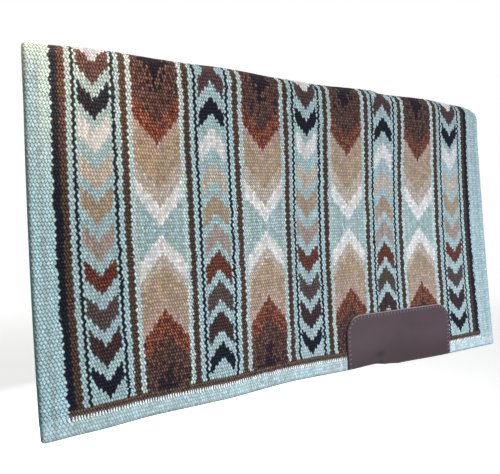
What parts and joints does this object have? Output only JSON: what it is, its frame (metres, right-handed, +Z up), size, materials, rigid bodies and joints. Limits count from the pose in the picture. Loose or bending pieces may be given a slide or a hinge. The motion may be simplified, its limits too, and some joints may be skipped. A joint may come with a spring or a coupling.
{
  "type": "western saddle pad",
  "caption": "Hand-woven wool western saddle pad folded along the spine, with two swinging flaps and leather wear patches wrapped round the hem.",
  "frame": {"origin": "axis of the rail that the pad hangs over, at the middle of the pad's length", "axes": "+X along the horse's back to the pad's front end, +Y to the horse's left side, +Z up"},
  "size_m": [0.864, 0.0606, 0.5061],
  "materials": {
    "woven_wool": "weft-faced tapestry weave, turquoise ground with brown, tan, cream and black bands",
    "wear_leather": "smooth oiled bridle leather with a stitched edge"
  },
  "bodies": {
    "ridge": {"spine_ridge": "woven_wool"},
    "right_flap": {"right_flap": "woven_wool", "right_wear_leather": "wear_leather"},
    "left_flap": {"left_flap": "woven_wool", "left_wear_leather": "wear_leather"}
  },
  "joints": [
    {"name": "right_flap_fold", "type": "hinge", "parent": "ridge", "child": "right_flap", "pos_m": [0, -0.028, 0], "axis": [-1, 0, 0], "range_deg": [0, 90]},
    {"name": "left_flap_fold", "type": "hinge", "parent": "ridge", "child": "left_flap", "pos_m": [0, 0.028, 0], "axis": [1, 0, 0], "range_deg": [0, 90]}
  ]
}
